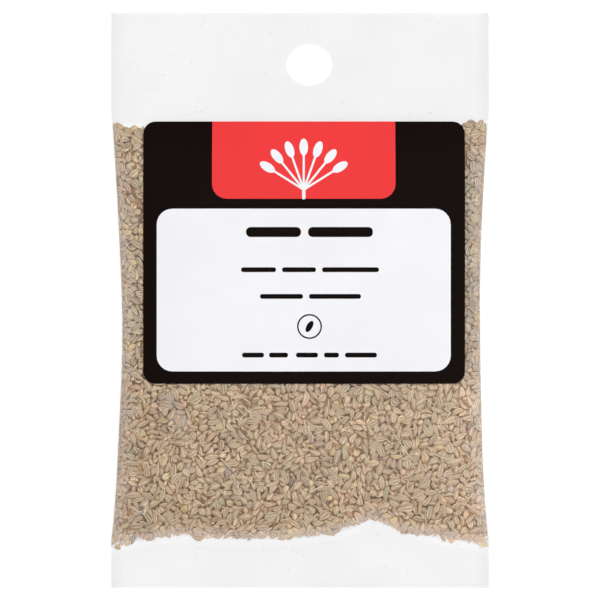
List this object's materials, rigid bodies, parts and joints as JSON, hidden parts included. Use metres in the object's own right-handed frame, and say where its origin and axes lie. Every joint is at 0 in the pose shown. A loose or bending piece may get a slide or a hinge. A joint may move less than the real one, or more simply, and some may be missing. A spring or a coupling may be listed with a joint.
{
  "type": "packet of anise seed",
  "caption": "Flat clear film hang packet of whole anise seed, lying on its back, with a plain colour-field sticker on its front and a punched hole in its header.",
  "frame": {"origin": "middle of the packet's footprint, on the surface it lies on", "axes": "+Z out of the packet's front (the label side, up), +Y towards the header with the hang hole, +X to the right as the label is read"},
  "size_m": [0.1016, 0.1546, 0.0087],
  "materials": {
    "seed_under_film": "tan whole seeds under clear glossy film",
    "label_print": "satin printed sticker, black with a white panel and a red tab"
  },
  "bodies": {
    "root": {"bag": "seed_under_film", "label": "label_print"}
  },
  "joints": []
}
